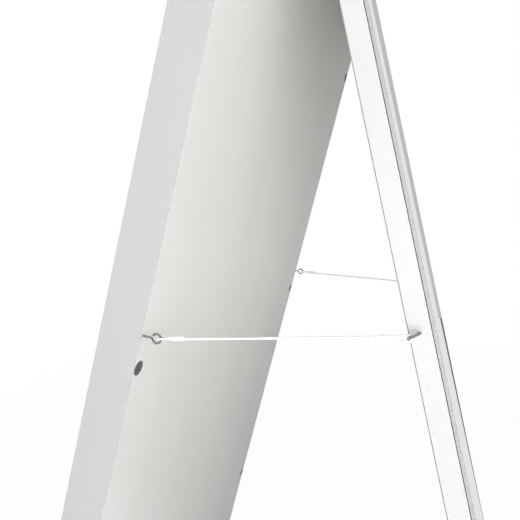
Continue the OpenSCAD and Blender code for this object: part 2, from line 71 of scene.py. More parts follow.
HALF_W = 0.3
BOARD_T = 0.018
TAPE_T = 0.0005
GLASS_T = 0.003
GLASS_LIFT = 0.004
MIRROR_LEAN = math.radians(12.6)
REAR_LEN = 1.11
REAR_T = 0.044
REAR_LEAN = math.radians(14.7)
REAR_GAP = 0.002
PAD_T = 0.002
REAR_EYE_S = {-1: 0.5175, 1: 0.516}
REAR_EYE_SINK = {-1: 0, 1: 0.0035}
REAR_EYE_TILT = math.radians(8)
REAR_EYE_INSET = 0.0035
MIRROR_EYE_S = {-1: 0.494, 1: 0.532}
MIRROR_EYE_TURN = math.radians(18)
MIRROR_EYE_TILT = math.radians(5)
MIRROR_EYE_ROLL = math.radians(18)
EYE_REACH = 0.0145
EYE_RING_R = 0.0044
EYE_WIRE_R = 0.00105
EYE_BEND_R = 0.003
EYE_SHANK = 0.012
EYE_END_DEGREES = 23
CORD_R = 0.0011
LOOP_LEN = 0.0135
SLEEVE_LEN = 0.011
SLEEVE_R = 0.00175
SLEEVE_HALF = 0.00295
SLEEVE_LIP = 0.0011
TAIL_LEN = 0.002
MID_SLEEVE = LOOP_LEN + SLEEVE_LEN / 2
LOOP_GAP = 0.0003
STRAND_OFF = CORD_R + 0.0001
BEND_R = EYE_WIRE_R + LOOP_GAP + CORD_R
TWIST = {"rear": math.radians(-42), "mirror": 0}
SIDES = {-1: "left", 1: "right"}


def find_apex():
    """The apex, placed so that the footprint's box is centred and the pads are on the floor."""
    slope = (REAR_GAP + REAR_LEN) * math.cos(REAR_LEAN)
    glass_front = BOARD_T + TAPE_T + GLASS_T
    glass_foot_s = slope / math.cos(MIRROR_LEAN) - GLASS_LIFT
    front = glass_front * math.cos(MIRROR_LEAN) + glass_foot_s * math.sin(MIRROR_LEAN)
    rear_foot_s = (slope + REAR_T * math.sin(REAR_LEAN)) / math.cos(REAR_LEAN)
    back = REAR_T * math.cos(REAR_LEAN) + rear_foot_s * math.sin(REAR_LEAN)
    return Vector((0, (front - back) / 2, PAD_T + slope))


APEX = find_apex()


def on_panel(angle):
    """The matrix that leans an upright panel over."""
    return Matrix.Translation(APEX) @ Matrix.Rotation(angle, 4, "X")


ON_MIRROR = on_panel(-MIRROR_LEAN)
ON_REAR = on_panel(REAR_LEAN)


def square_to(v, axis):
    return (v - axis * v.dot(axis)).normalized()


# Camera, fitted to the photograph

CAMERA_PLACE = (-0.71658, -0.15222, 0.68906)
CAMERA_YAW = math.radians(17.769)
CAMERA_PITCH = math.radians(-4.895)
CAMERA_ROLL = math.radians(-0.047)
CAMERA_LENS = 35.757
SENSOR_WIDTH = 36


def place_camera():
    yaw, pitch = CAMERA_YAW, CAMERA_PITCH
    forward = Vector(
        (math.cos(yaw) * math.cos(pitch), math.sin(yaw) * math.cos(pitch), math.sin(pitch))
    )
    right = forward.cross(Vector((0, 0, 1))).normalized()
    up = right.cross(forward)
    turn = Matrix((right, up, -forward)).transposed().to_4x4()
    data = bpy.data.cameras.new("photo_camera")
    data.sensor_fit = "HORIZONTAL"
    data.sensor_width = SENSOR_WIDTH
    data.lens = CAMERA_LENS
    data.clip_start = 0.02
    camera = bpy.data.objects.new("photo_camera", data)
    camera.matrix_world = (
        Matrix.Translation(CAMERA_PLACE) @ turn @ Matrix.Rotation(CAMERA_ROLL, 4, "Z")
    )
    bpy.context.scene.collection.objects.link(camera)
    bpy.context.scene.camera = camera


place_camera()


# Helpers for meshes

WELD = 2e-6
FLAT_ANGLE = math.radians(0.4)
SMALL_FACE = 0.00006


def link(name, data):
    piece = bpy.data.objects.new(name, data)
    bpy.context.scene.collection.objects.link(piece)
    return piece


def mesh_piece(name, shape):
    mesh = bpy.data.meshes.new(name)
    shape.to_mesh(mesh)
    shape.free()
    return link(name, mesh)


def give(piece, *materials):
    piece.data.materials.clear()
    for material in materials:
        piece.data.materials.append(material)


def dress(piece, body, slot, nodes, *materials):
    """Gives a finished piece its finish, its body and the nodes that it stands for."""
    if materials:
        give(piece, *materials)
    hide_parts(*nodes)
    if body:
        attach(piece, body)
    return piece


def baked(piece):
    """The piece with its modifiers applied, as one plain mesh."""
    view = bpy.context.evaluated_depsgraph_get()
    mesh = bpy.data.meshes.new_from_object(piece.evaluated_get(view))
    if piece.type != "MESH":
        solid = link(piece.name + "_mesh", mesh)
        bpy.data.objects.remove(piece)
        return solid
    piece.modifiers.clear()
    piece.data = mesh
    return piece


def shade(piece, angle=18):
    """Smooth over the small steps of round forms, and flat on wide flat faces."""
    piece.data.set_sharp_from_angle(angle=math.radians(angle))
    for face in piece.data.polygons:
        face.use_smooth = face.area < SMALL_FACE
    return piece


def softened(name, node, width, segments=2, angle=28):
    """A copy of a node's mesh with a small round on its sharp edges."""
    shape = bmesh.new()
    shape.from_mesh(frame["nodes"][node].data)
    bmesh.ops.remove_doubles(shape, verts=shape.verts, dist=WELD)
    bmesh.ops.dissolve_limit(
        shape, angle_limit=FLAT_ANGLE, verts=shape.verts, edges=shape.edges
    )
    piece = mesh_piece(name, shape)
    bevel = piece.modifiers.new("round", "BEVEL")
    bevel.width = width
    bevel.segments = segments
    bevel.limit_method = "ANGLE"
    bevel.angle_limit = math.radians(angle)
    return shade(baked(piece))


# Node trees


class Tree:
    """What the trees of materials and of Geometry Nodes have in common."""

    prefix = ""

    def node(self, kind, inputs=None, **settings):
        """A new node, with its settings, and its inputs linked or set."""
        made = self.tree.nodes.new(self.prefix + kind)
        for key, value in settings.items():
            setattr(made, key, value)
        for socket, value in (inputs or {}).items():
            self.join(value, made.inputs[socket])
        return made

    def join(self, value, socket):
        """Links an output to a socket, or sets a plain value on it."""
        if isinstance(value, bpy.types.NodeSocket):
            self.tree.links.new(value, socket)
        else:
            socket.default_value = value


# Materials


class Finish(Tree):
    """A node material with one main surface; constants go on the surface's own sockets."""

    prefix = "ShaderNode"

    def __init__(self, name, **sockets):
        self.material = bpy.data.materials.new(name)
        self.material.use_nodes = True
        self.tree = self.material.node_tree
        self.surface = self.tree.nodes["Principled BSDF"]
        for socket, value in sockets.items():
            self.surface.inputs[socket.replace("_", " ")].default_value = value

    def place(self, scale=(1, 1, 1), turn=(0, 0, 0), kind="Object"):
        """Coordinates on the piece, stretched and turned."""
        source = self.node("TexCoord").outputs[kind]
        inputs = {"Vector": source, "Scale": scale, "Rotation": turn}
        return self.node("Mapping", inputs).outputs["Vector"]

    def noise(self, where, scale, detail=2.0, roughness=0.5):
        inputs = {"Vector": where, "Scale": scale, "Detail": detail, "Roughness": roughness}
        return self.node("TexNoise", inputs).outputs["Fac"]

    def ramp(self, value, *stops):
        """Maps a value from 0 to 1 to the colours or greys at the stops."""
        made = self.node("ValToRGB", {"Fac": value})
        ramp = made.color_ramp
        for place, _ in stops[2:]:
            ramp.elements.new(place)
        for element, (place, colour) in zip(ramp.elements, sorted(stops)):
            element.position = place
            if isinstance(colour, float):
                colour = grey(colour)
            element.color = (*colour, 1)
        return made.outputs["Color"]

    def mixed(self, factor, one, other, mode="MIX"):
        made = self.node("Mix", data_type="RGBA", blend_type=mode)
        for index, value in zip((0, 6, 7), (factor, one, other)):
            if not isinstance(value, bpy.types.NodeSocket) and index:
                value = (*value, 1)
            self.join(value, made.inputs[index])
        return made.outputs[2]

    def bump(self, height, strength, distance):
        inputs = {"Height": height, "Strength": strength, "Distance": distance}
        self.join(self.node("Bump", inputs).outputs["Normal"], self.surface.inputs["Normal"])

    def colour(self, value):
        self.join(value, self.surface.inputs["Base Color"])

    def rough(self, value):
        self.join(value, self.surface.inputs["Roughness"])


def grey(value):
    return (value, value, value)


def white_lacquer(name, white):
    """Sprayed satin lacquer on board, at a level of white, with a faint orange peel."""
    f = Finish(name, Coat_Weight=0.25, Coat_Roughness=0.22, IOR=1.48)
    broad = f.noise(f.place(), 3.1, 3)
    warm = (white, white * 0.994, white * 0.983)
    f.colour(f.ramp(broad, (0.3, warm), (0.7, [c * 1.022 for c in warm])))
    peel = f.noise(f.place(), 420, 2, 0.4)
    f.rough(f.ramp(f.noise(f.place(), 24, 4), (0.2, 0.33), (0.8, 0.42)))
    f.bump(peel, 0.12, 0.0002)
    return f.material


def support_satin():
    """The support panel's light grey foil on its sides and back."""
    f = Finish("support_satin", Coat_Weight=0.12, Coat_Roughness=0.3, IOR=1.47)
    broad = f.noise(f.place(), 2.2, 3)
    f.colour(f.ramp(broad, (0.3, (0.475, 0.475, 0.478)), (0.7, (0.495, 0.495, 0.496))))
    f.rough(f.ramp(f.noise(f.place((1, 1, 0.25)), 60, 3), (0.25, 0.38), (0.75, 0.48)))
    f.bump(f.noise(f.place(), 650, 2, 0.5), 0.10, 0.0002)
    return f.material


def support_gloss():
    """The pale lacquer of the inner face, with broad soft bands down its length."""
    f = Finish("support_gloss", Coat_Weight=0.2, Coat_Roughness=0.3, IOR=1.36)
    bands = f.noise(f.place((1, 0.02, 0.05)), 7.5, 1.5, 0.4)
    tint = f.ramp(
        bands,
        (0.3, (0.915, 0.9, 0.878)),
        (0.5, (0.93, 0.922, 0.906)),
        (0.7, (0.908, 0.912, 0.894)),
    )
    f.colour(tint)
    f.rough(f.ramp(f.noise(f.place((1, 1, 0.3)), 30, 3), (0.2, 0.42), (0.8, 0.5)))
    f.bump(f.noise(f.place(), 900, 2, 0.45), 0.03, 0.0001)
    return f.material


def silver_face():
    """The mirror's silvered face, seen through clear float glass."""
    f = Finish("silver_face", Metallic=1.0)
    clouds = f.noise(f.place(), 1.7, 2)
    f.colour(f.ramp(clouds, (0.3, (0.80, 0.812, 0.81)), (0.7, (0.815, 0.824, 0.822))))
    f.rough(f.ramp(f.noise(f.place(), 14, 4), (0.35, 0.006), (0.85, 0.018)))
    return f.material


def ground_glass():
    """The mirror's ground and seamed edge."""
    f = Finish("ground_glass", Coat_Weight=0.3, Coat_Roughness=0.2, IOR=1.52)
    grind = f.noise(f.place(), 700, 3)
    f.colour(f.ramp(grind, (0.3, (0.35, 0.36, 0.355)), (0.7, (0.42, 0.43, 0.423))))
    f.rough(f.ramp(f.noise(f.place(), 240, 3), (0.3, 0.34), (0.7, 0.5)))
    f.bump(f.noise(f.place(), 1800, 2), 0.25, 0.0001)
    return f.material


def backing_paint():
    """The grey paint on the back of the mirror's silver."""
    f = Finish("backing_paint")
    clouds = f.noise(f.place(), 30, 4)
    f.colour(f.ramp(clouds, (0.3, (0.12, 0.13, 0.14)), (0.7, (0.15, 0.16, 0.17))))
    f.rough(f.ramp(f.noise(f.place(), 90, 3), (0.3, 0.5), (0.7, 0.65)))
    return f.material


def steel(name, low, high, rough_low, rough_high, grain=(1, 1, 1)):
    """Plated steel, with the fine marks of drawing or rolling."""
    f = Finish(name, Metallic=1.0)
    marks = f.noise(f.place(grain), 900, 3, 0.6)
    f.colour(f.ramp(marks, (0.3, low), (0.7, high)))
    f.rough(f.ramp(f.noise(f.place(), 160, 3), (0.3, rough_low), (0.7, rough_high)))
    f.bump(marks, 0.08, 0.0001)
    return f.material


def cast_zinc():
    """Dull die-cast zinc of the cams, darker in its pits."""
    f = Finish("cast_zinc", Metallic=0.35)
    pits = f.noise(f.place(), 1400, 4, 0.6)
    f.colour(f.ramp(pits, (0.35, (0.13, 0.13, 0.135)), (0.75, (0.27, 0.272, 0.28))))
    f.rough(f.ramp(f.noise(f.place(), 500, 3), (0.3, 0.38), (0.7, 0.55)))
    f.bump(pits, 0.35, 0.0002)
    return f.material


def braid_yarn():
    """White polyester yarn of the cords."""
    f = Finish("braid_yarn", Sheen_Weight=0.25, Sheen_Roughness=0.4)
    fibres = f.noise(f.place(), 2600, 3, 0.7)
    f.colour(f.ramp(fibres, (0.3, (0.87, 0.865, 0.85)), (0.7, (0.93, 0.928, 0.92))))
    f.rough(f.ramp(fibres, (0.3, 0.45), (0.7, 0.6)))
    f.bump(fibres, 0.15, 0.0001)
    return f.material


def sleeve_plastic():
    """Shrunk white plastic of the sleeves."""
    f = Finish("sleeve_plastic", Coat_Weight=0.2, Coat_Roughness=0.3)
    clouds = f.noise(f.place(), 300, 2)
    f.colour(f.ramp(clouds, (0.3, (0.90, 0.898, 0.89)), (0.7, (0.925, 0.923, 0.918))))
    f.rough(f.ramp(f.noise(f.place(), 800, 3), (0.3, 0.36), (0.7, 0.48)))
    f.bump(f.noise(f.place(), 1500, 2), 0.1, 0.0001)
    return f.material


def foot_rubber():
    f = Finish("foot_rubber")
    f.colour(f.ramp(f.noise(f.place(), 400, 4), (0.3, grey(0.022)), (0.7, grey(0.04))))
    f.rough(f.ramp(f.noise(f.place(), 220, 3), (0.3, 0.68), (0.7, 0.85)))
    f.bump(f.noise(f.place(), 1600, 3), 0.3, 0.0002)
    return f.material


def foam_tape():
    f = Finish("foam_tape")
    cells = f.node("TexVoronoi", {"Vector": f.place(), "Scale": 1500.0}).outputs["Distance"]
    f.colour(f.ramp(cells, (0.1, grey(0.03)), (0.7, grey(0.08))))
    f.rough(f.ramp(cells, (0.1, 0.75), (0.8, 0.95)))
    f.bump(cells, 0.4, 0.0003)
    return f.material


def raw_wood(name, turn):
    """Sawn softwood; turn lays its grain along the piece."""
    f = Finish(name, IOR=1.45)
    where = f.place((14, 14, 1.1), turn)
    wander = f.noise(where, 1.4, 3)
    rings = f.node(
        "TexWave",
        {"Vector": where, "Scale": 1.6, "Distortion": 5.0, "Detail": 3.0, "Detail Scale": 1.3},
    ).outputs["Fac"]
    grain = f.mixed(wander, (0.60, 0.44, 0.27), (0.72, 0.56, 0.37))
    dark = f.ramp(rings, (0.2, (0.80, 0.74, 0.66)), (0.75, (1, 1, 1)))
    f.colour(f.mixed(1.0, grain, dark, "MULTIPLY"))
    f.rough(f.ramp(rings, (0.2, 0.55), (0.8, 0.72)))
    f.bump(f.noise(f.place((120, 120, 8), turn), 2.5, 4), 0.3, 0.0004)
    return f.material


def core_card():
    """Brown card of the core, with its flutes."""
    f = Finish("card_core")
    wave = f.node("TexWave", {"Vector": f.place(), "Scale": 90.0, "Distortion": 0.6})
    flutes = wave.outputs["Fac"]
    f.colour(f.ramp(flutes, (0.2, (0.40, 0.28, 0.16)), (0.8, (0.50, 0.36, 0.22))))
    f.rough(f.ramp(f.noise(f.place(), 300, 3), (0.3, 0.7), (0.7, 0.9)))
    f.bump(flutes, 0.3, 0.0005)
    return f.material


ACROSS = (0, math.radians(90), 0)

LACQUER = white_lacquer("white_lacquer", 0.86)
# The board's edges take a darker copy of the same white lacquer: painted shade that keeps the
# brightly lit sides short of white.
SHADED_EDGE_LACQUER = white_lacquer("edge_lacquer_painted_shade", 0.6)
# The small round at the board's back corners gets a dark copy of the lacquer: painted shade along
# that edge.
SHADED_CORNER = white_lacquer("painted_shade_corner", 0.28)
SATIN = support_satin()
GLOSS = support_gloss()
SILVER = silver_face()
GLASS_EDGE = ground_glass()
BACKING = backing_paint()
LEAF_STEEL = steel("leaf_steel", grey(0.42), grey(0.6), 0.28, 0.42, (1, 1, 6))
PIN_STEEL = steel("pin_steel", grey(0.34), grey(0.5), 0.22, 0.34, (8, 1, 1))
SCREW_STEEL = steel("screw_steel", grey(0.4), grey(0.58), 0.26, 0.38)
# The eyes' steel is painted much darker than the other plated steel: a painted reflection of dark
# surroundings in the polished wire.
DARKENED_EYE_STEEL = steel("eye_steel_painted_dark", grey(0.2), grey(0.36), 0.08, 0.14)
ZINC = cast_zinc()
YARN = braid_yarn()
SLEEVE = sleeve_plastic()
RUBBER = foot_rubber()
TAPE = foam_tape()
STILE_WOOD = raw_wood("stile_wood", (0, 0, 0))
RAIL_WOOD = raw_wood("rail_wood", ACROSS)
DOWEL_WOOD = raw_wood("dowel_wood", ACROSS)
CARD = core_card()


# Geometry Nodes


class Maker(Tree):
    """A tree of Geometry Nodes with named inputs, that ends in one plain mesh."""

    def __init__(self, name, **inputs):
        self.tree = bpy.data.node_groups.new(name, "GeometryNodeTree")
        self.ids = {}
        face = self.tree.interface
        face.new_socket("Geometry", in_out="INPUT", socket_type="NodeSocketGeometry")
        for label, (kind, value) in inputs.items():
            label = label.replace("_", " ")
            socket = face.new_socket(label, in_out="INPUT", socket_type="NodeSocket" + kind)
            if value is not None:
                socket.default_value = value
            self.ids[label] = socket.identifier
        face.new_socket("Geometry", in_out="OUTPUT", socket_type="NodeSocketGeometry")
        self.start = self.tree.nodes.new("NodeGroupInput")
        self.end = self.tree.nodes.new("NodeGroupOutput")

    def given(self, label):
        return self.start.outputs[label]

    def rail(self):
        """The given curve, with its points at even steps."""
        inputs = {"Curve": self.given("Geometry"), "Length": self.given("Step")}
        return self.node("GeometryNodeResampleCurve", inputs, mode="LENGTH").outputs[0]

    def ring(self):
        """The round section that is swept along the rail."""
        inputs = {"Resolution": self.given("Sides"), "Radius": self.given("Radius")}
        return self.node("GeometryNodeCurvePrimitiveCircle", inputs).outputs["Curve"]

    def maths(self, operation, *values):
        made = self.node("ShaderNodeMath", operation=operation)
        for socket, value in zip(made.inputs, values):
            self.join(value, socket)
        return made.outputs[0]

    def finish(self, geometry):
        """Real geometry with the material that the tree was given."""
        real = self.node("GeometryNodeRealizeInstances", {"Geometry": geometry})
        inputs = {"Geometry": real.outputs[0], "Material": self.given("Finish")}
        done = self.node("GeometryNodeSetMaterial", inputs)
        self.tree.links.new(done.outputs[0], self.end.inputs[0])
        return self

    def on(self, piece, **inputs):
        """The mesh that the tree makes of a piece, with these inputs."""
        modifier = piece.modifiers.new("make", "NODES")
        modifier.node_group = self.tree
        for label, value in inputs.items():
            modifier[self.ids[label.replace("_", " ")]] = value
        return baked(piece)


def path_curve(name, route):
    """A curve through the points of a route."""
    data = bpy.data.curves.new(name, "CURVE")
    data.dimensions = "3D"
    spline = data.splines.new("POLY")
    spline.points.add(len(route) - 1)
    for point, place in zip(spline.points, route):
        point.co = (*place, 1)
    return link(name, data)


UNDER_YARN = 0.35


def braid_maker():
    """A cord along a curve, whose yarns cross over and under each other in relief."""
    m = Maker(
        "braided_cord",
        Radius=("Float", CORD_R),
        Step=("Float", 0.0002),
        Yarns=("Float", 8.0),
        Lay_Length=("Float", 0.009),
        Relief=("Float", 0.00007),
        Sides=("Int", 48),
        Finish=("Material", None),
    )
    place = m.node("GeometryNodeSplineParameter")
    rail = m.node("GeometryNodeCaptureAttribute", {"Geometry": m.rail()}, domain="POINT")
    rail.capture_items.new("FLOAT", "run")
    m.join(place.outputs["Length"], rail.inputs["run"])
    ring = m.node("GeometryNodeCaptureAttribute", {"Geometry": m.ring()}, domain="POINT")
    ring.capture_items.new("FLOAT", "turn")
    m.join(place.outputs["Factor"], ring.inputs["turn"])
    tube = m.node(
        "GeometryNodeCurveToMesh",
        {
            "Curve": rail.outputs["Geometry"],
            "Profile Curve": ring.outputs["Geometry"],
            "Fill Caps": True,
        },
    ).outputs[0]
    along = m.maths("DIVIDE", rail.outputs["run"], m.given("Lay Length"))
    along = m.maths("MULTIPLY", along, m.given("Yarns"))
    across = m.maths("MULTIPLY", ring.outputs["turn"], m.given("Yarns"))
    heights = []
    first = m.maths("ADD", across, along)
    second = m.maths("SUBTRACT", across, along)
    cells = m.maths("ADD", m.maths("FLOOR", first), m.maths("FLOOR", second))
    over = m.maths("PINGPONG", cells, 1.0)
    for lane, lift in ((first, over), (second, m.maths("SUBTRACT", 1.0, over))):
        middle = m.maths("SUBTRACT", m.maths("FRACT", lane), 0.5)
        crown = m.maths("COSINE", m.maths("MULTIPLY", middle, math.pi))
        raised = m.maths("ADD", UNDER_YARN, m.maths("MULTIPLY", lift, 1 - UNDER_YARN))
        heights.append(m.maths("MULTIPLY", crown, raised))
    height = m.maths("MAXIMUM", *heights)
    height = m.maths("MULTIPLY", m.maths("SUBTRACT", height, 1.0), m.given("Relief"))
    normal = m.node("GeometryNodeInputNormal").outputs[0]
    push = m.node(
        "ShaderNodeVectorMath", {0: normal, "Scale": height}, operation="SCALE"
    ).outputs[0]
    shaped = m.node("GeometryNodeSetPosition", {"Geometry": tube, "Offset": push}).outputs[0]
    shaped = m.node("GeometryNodeSetShadeSmooth", {"Geometry": shaped}).outputs[0]
    return m.finish(shaped)


TIP_BLUNT = 0.02


def wire_maker():
    """A round wire along a curve, that narrows to a rounded tip at its far end."""
    m = Maker(
        "bent_wire",
        Radius=("Float", EYE_WIRE_R),
        Step=("Float", 0.00025),
        Tip=("Float", 0.0006),
        Sides=("Int", 24),
        Finish=("Material", None),
    )
    rail = m.rail()
    length = m.node("GeometryNodeCurveLength", {"Curve": rail}).outputs[0]
    place = m.node("GeometryNodeSplineParameter").outputs["Length"]
    left = m.maths("DIVIDE", m.maths("SUBTRACT", length, place), m.given("Tip"))
    near = m.maths("SUBTRACT", 1.0, m.maths("MINIMUM", left, 1.0))
    taper = m.maths("SQRT", m.maths("SUBTRACT", 1 + TIP_BLUNT, m.maths("POWER", near, 2.0)))
    rail = m.node("GeometryNodeSetCurveRadius", {"Curve": rail, "Radius": taper}).outputs[0]
    tube = m.node(
        "GeometryNodeCurveToMesh",
        {"Curve": rail, "Profile Curve": m.ring(), "Scale": taper, "Fill Caps": True},
    ).outputs[0]
    tube = m.node("GeometryNodeSetShadeSmooth", {"Geometry": tube}).outputs[0]
    return m.finish(tube)


BRAID = braid_maker()
WIRE = wire_maker()


# Panels

# How far a face's normal lies along the mirror's facing, on its flat front and back and
# on the small round at the board's back corners

ON_FACE = 0.995
ROUNDING = 0.1


def dress_panels():
    facing = ON_MIRROR.to_3x3() @ Vector((0, -1, 0))
    board = softened("lacquered_board", "mirror_board", 0.0006, 3)
    lacquers = (LACQUER, SHADED_EDGE_LACQUER, SHADED_CORNER)
    dress(board, "mirror_panel", "white_lacquer", ["mirror_board"], *lacquers)
    for face in board.data.polygons:
        side = face.normal.dot(facing)
        # Faces on the round at the back corners take the third, dark lacquer, which is painted
        # shade.
        face.material_index = 0 if abs(side) > ON_FACE else 2 if side < -ROUNDING else 1

    pane = softened("mirror_pane", "mirror_glass", 0.00012, 2, 20)
    give(pane, SILVER, GLASS_EDGE, BACKING)
    for face in pane.data.polygons:
        side = face.normal.dot(facing)
        face.material_index = 0 if side > ON_FACE else 2 if side < -ON_FACE else 1
    dress(pane, "mirror_panel", "mirror_glass", ["mirror_glass"])

    for node, width, finish, slot in (
        ("rear_inner_skin", 0.00015, GLOSS, "support_gloss"),
        ("rear_outer_skin", 0.00015, SATIN, "support_satin"),
        ("rear_edge_left", 0.00035, SATIN, "support_satin"),
        ("rear_edge_right", 0.00035, SATIN, "support_satin"),
        ("rear_edge_top", 0.0003, SATIN, "support_satin"),
    ):
        piece = softened("panel_" + node[5:], node, width)
        dress(piece, "rear_support", slot, [node], finish)

    for node, finish in (
        ("mounting_tape", TAPE),
        ("rear_stile_left", STILE_WOOD),
        ("rear_stile_right", STILE_WOOD),
        ("rear_top_rail", RAIL_WOOD),
        ("rear_middle_rail", RAIL_WOOD),
        ("rear_bottom_rail", RAIL_WOOD),
        ("rear_core_upper", CARD),
        ("rear_core_lower", CARD),
        ("dowels_left", DOWEL_WOOD),
        ("dowels_right", DOWEL_WOOD),
        ("cam_bolts_left", SCREW_STEEL),
        ("cam_bolts_right", SCREW_STEEL),
    ):
        give(frame["nodes"][node], finish)

    for node in ("mirror_foot_left", "mirror_foot_right", "rear_foot_left", "rear_foot_right"):
        body = "mirror_panel" if node.startswith("mirror") else "rear_support"
        pad = softened("pad_" + node, node, 0.0003, 2)
        dress(pad, body, "foot_rubber", [node], RUBBER)


dress_panels()


# Hinges


def dress_hinges():
    for side in SIDES.values():
        for body, node in (
            ("mirror_panel", f"hinge_{side}_mirror_leaf"),
            ("rear_support", f"hinge_{side}_rear_leaf"),
        ):
            leaf = softened("soft_" + node, node, 0.0002)
            dress(leaf, body, "steel_hardware", [node], LEAF_STEEL)
        pin = softened(f"soft_pin_{side}", f"hinge_{side}_pin", 0.00025, 3)
        dress(pin, "mirror_panel", "steel_hardware", [f"hinge_{side}_pin"], PIN_STEEL)


dress_hinges()


# Screws and cams


def dress_fittings():
    for panel, body in (("mirror", "mirror_panel"), ("rear", "rear_support")):
        node = f"{panel}_hinge_screws"
        dress(softened("soft_" + node, node, 0.00012), body, "steel_hardware", [node], SCREW_STEEL)
    for word in SIDES.values():
        node = f"cam_nuts_{word}"
        dress(softened("soft_" + node, node, 0.0004), "rear_support", "cam_zinc", [node], ZINC)


dress_fittings()


# Screw eyes


def toward(degrees):
    turn = math.radians(degrees)
    return Vector((math.cos(turn), math.sin(turn), 0))


def eye_route():
    """The middle of an eye's wire, drawn along X with the surface at X = 0."""
    bend_x = EYE_REACH - math.sqrt(EYE_RING_R**2 + 2 * EYE_BEND_R * EYE_RING_R)
    bend_at = Vector((bend_x, EYE_BEND_R, 0))
    ring_at = Vector((EYE_REACH, 0, 0))
    join = math.degrees(math.asin(EYE_BEND_R / (EYE_RING_R + EYE_BEND_R)))
    route = [Vector((-EYE_SHANK, 0, 0)), Vector((0, 0, 0)), Vector((bend_x, 0, 0))]
    bend_steps, ring_steps = 10, 64
    for k in range(1, bend_steps):
        route.append(bend_at + EYE_BEND_R * toward(-90 + (90 - join) * k / bend_steps))
    for k in range(ring_steps + 1):
        turn = 180 - join + (EYE_END_DEGREES - 360 + join) * k / ring_steps
        route.append(ring_at + EYE_RING_R * toward(turn))
    return route


def eye_places(side):
    """The matrix that places each of a side's two eyes."""
    mirror_turn = math.pi - MIRROR_EYE_TURN if side < 0 else MIRROR_EYE_TURN
    mirror = Euler((-side * MIRROR_EYE_ROLL, -MIRROR_EYE_TILT, mirror_turn))
    rear = Euler((-math.pi / 2, -REAR_EYE_TILT, -math.pi / 2))
    sink = REAR_EYE_SINK[side]
    return {
        "mirror": ON_MIRROR
        @ Matrix.Translation((side * HALF_W, -BOARD_T / 2, -MIRROR_EYE_S[side]))
        @ mirror.to_matrix().to_4x4(),
        "rear": ON_REAR
        @ Matrix.Translation((side * (HALF_W - REAR_EYE_INSET), 0, -REAR_EYE_S[side]))
        @ rear.to_matrix().to_4x4()
        @ Matrix.Translation((-sink, 0, 0)),
    }


def dress_eyes():
    for side, word in SIDES.items():
        for panel, place in eye_places(side).items():
            name = f"{panel}_screw_eye_{word}"
            curve = path_curve(name, [place @ p for p in eye_route()])
            eye = WIRE.on(curve, Finish=DARKENED_EYE_STEEL)
            eye.name = name
            body = "mirror_panel" if panel == "mirror" else "rear_support"
            dress(eye, body, "steel_hardware", [f"{panel}_eye_{word}"])


dress_eyes()


# Cords: the route of each, from the support panel's eye to the board's


def ring_of(side, panel):
    """The centre of an eye's ring, and the axis of its hole."""
    place = eye_places(side)[panel]
    return place @ Vector((EYE_REACH, 0, 0)), place.to_3x3() @ Vector((0, 0, 1))


def loop_ends(side):
    """For each end of a cord: where it bears on the ring, the way along it, and across."""
    (rear, rear_axis), (mirror, mirror_axis) = ring_of(side, "rear"), ring_of(side, "mirror")
    rear_at = rear + EYE_RING_R * square_to(mirror - rear, rear_axis)
    mirror_at = mirror + EYE_RING_R * square_to(rear - mirror, mirror_axis)
    along = (mirror_at - rear_at).normalized()
    return {
        "rear": (rear_at, along, square_to(rear_axis, along)),
        "mirror": (mirror_at, -along, square_to(mirror_axis, along)),
    }


def eased(t):
    return t * t * (3 - 2 * t)


def turned(v, axis, angle):
    return Matrix.Rotation(angle, 3, axis) @ v


def loop_route(at, along, across, twist):
    """From the middle of the sleeve round the eye's wire, back through it, to the tail."""
    steps = 8

    def strand(side, k):
        forward = BEND_R + (LOOP_LEN - BEND_R) * k / steps
        off = BEND_R + (STRAND_OFF - BEND_R) * eased(k / steps)
        over = turned(across, along, twist * eased(k / steps))
        return at + along * forward + over * side * off

    end = LOOP_LEN + SLEEVE_LEN + TAIL_LEN
    over = turned(across, along, twist)
    there = [strand(1, k) for k in range(steps, -1, -1)]
    round_wire = [
        at + BEND_R * (across * math.sin(math.radians(t)) - along * math.cos(math.radians(t)))
        for t in range(90, -91, -10)
    ]
    back = [strand(-1, k) for k in range(steps + 1)]
    return (
        [at + along * MID_SLEEVE + over * STRAND_OFF]
        + there
        + round_wire
        + back
        + [at + along * MID_SLEEVE - over * STRAND_OFF, at + along * end - over * STRAND_OFF]
    )


LIP_DRAW = 0.17
FLATNESS = 2.5
CRIMPS = (1 / 3, 2 / 3)
CRIMP_WIDTH = 0.06
CRIMP_DEPTH = 0.18


def add_sleeve(shape, at, along, over):
    """A sleeve crimped twice over both strands, with its ends drawn in."""
    up = along.cross(over)
    start = at + along * LOOP_LEN
    steps, sides = 40, 48
    rings = []
    for k in range(steps + 1):
        t = k / steps
        lip = min(1, min(t, 1 - t) * SLEEVE_LEN / SLEEVE_LIP)
        swell = 1 - LIP_DRAW * (1 - lip) ** 2
        crimp = sum(math.exp(-(((t - place) / CRIMP_WIDTH) ** 2)) for place in CRIMPS)
        ring = []
        for j in range(sides):
            turn = math.tau * j / sides
            flat = max(-1, min(1, FLATNESS * math.cos(turn))) * (SLEEVE_HALF - SLEEVE_R)
            x = (SLEEVE_R * math.cos(turn) + flat) * swell
            y = SLEEVE_R * math.sin(turn) * swell * (1 - CRIMP_DEPTH * crimp)
            ring.append(shape.verts.new(start + along * SLEEVE_LEN * t + over * x + up * y))
        rings.append(ring)
    for one, other in zip(rings, rings[1:]):
        for j in range(sides):
            n = (j + 1) % sides
            shape.faces.new((one[j], one[n], other[n], other[j]))
    shape.faces.new(rings[0][::-1])
    shape.faces.new(rings[-1])


def sleeves_piece(word, ends):
    shape = bmesh.new()
    for panel, (at, along, across) in ends.items():
        add_sleeve(shape, at, along, turned(across, along, TWIST[panel]))
    bmesh.ops.recalc_face_normals(shape, faces=shape.faces)
    return shade(mesh_piece(f"crimped_sleeves_{word}", shape), 50)


RUN_STEPS = 24


